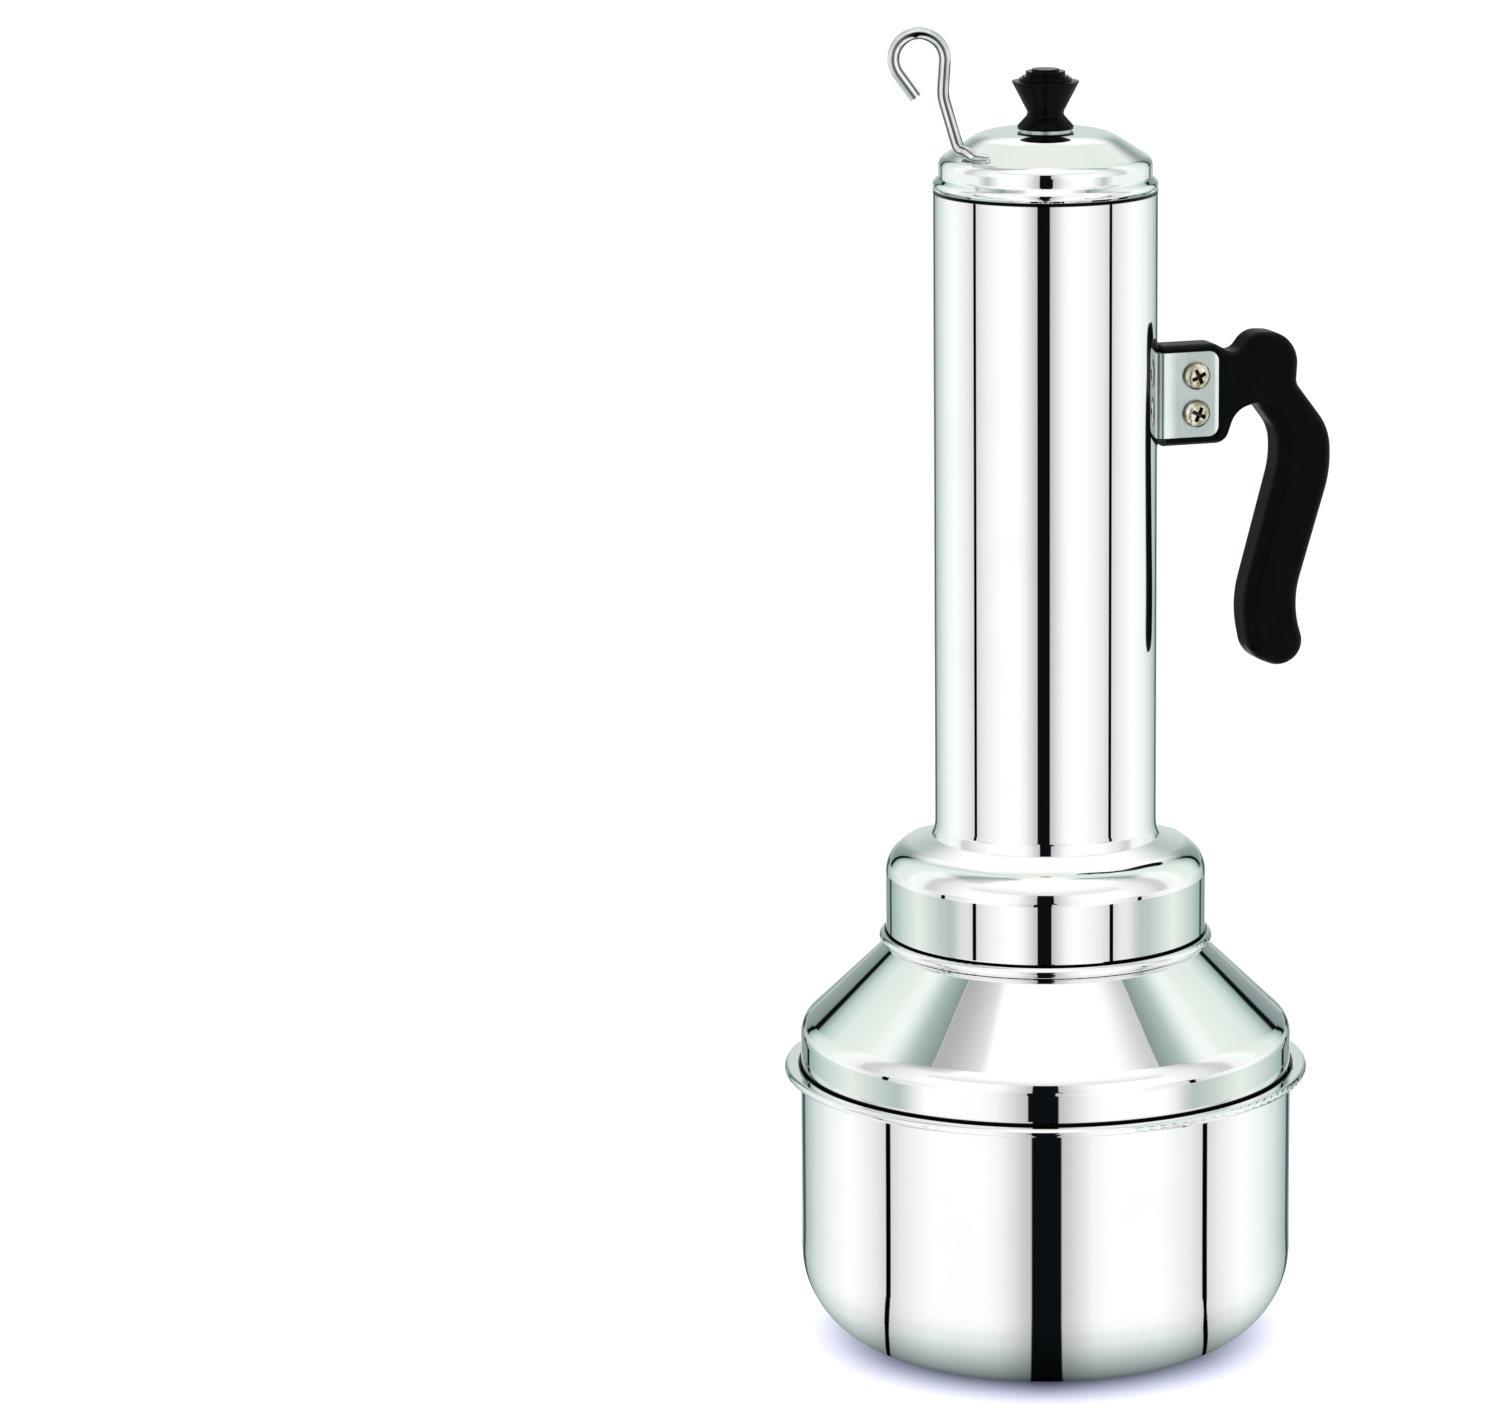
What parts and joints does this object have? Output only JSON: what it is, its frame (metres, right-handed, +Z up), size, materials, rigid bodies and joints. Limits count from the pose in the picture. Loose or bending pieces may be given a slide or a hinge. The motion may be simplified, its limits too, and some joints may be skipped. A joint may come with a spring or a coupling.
{
  "type": "puttu maker",
  "caption": "Stainless steam cooker: round pot, cone, tall tube on a domed skirt, lid with hook and knob, side handle.",
  "frame": {"origin": "centre of the pot's flat underside", "axes": "+Z up along the tube, +X from the axis to the handle"},
  "size_m": [0.1647, 0.1542, 0.3896],
  "materials": {
    "mirror_steel": "mirror-polished stainless steel",
    "satin_steel": "satin stainless steel",
    "hook_wire": "bright drawn steel wire",
    "black_moulding": "black moulded phenolic resin, soft gloss",
    "plated_screw": "yellowish zinc plate",
    "brass": "turned brass"
  },
  "bodies": {
    "root": {"boiler_pot": "mirror_steel", "steam_cone": "mirror_steel", "tube_skirt": "mirror_steel", "steam_tube": "mirror_steel", "perforated_disc": "satin_steel", "lid": "mirror_steel", "lid_hook": "hook_wire", "knob_washer": "satin_steel", "knob": "black_moulding", "knob_insert": "brass", "knob_screw": "plated_screw", "handle_bracket": "satin_steel", "handle": "black_moulding", "handle_screw_upper": "plated_screw", "handle_screw_lower": "plated_screw", "handle_nut_upper": "plated_screw", "handle_nut_lower": "plated_screw"}
  },
  "joints": []
}
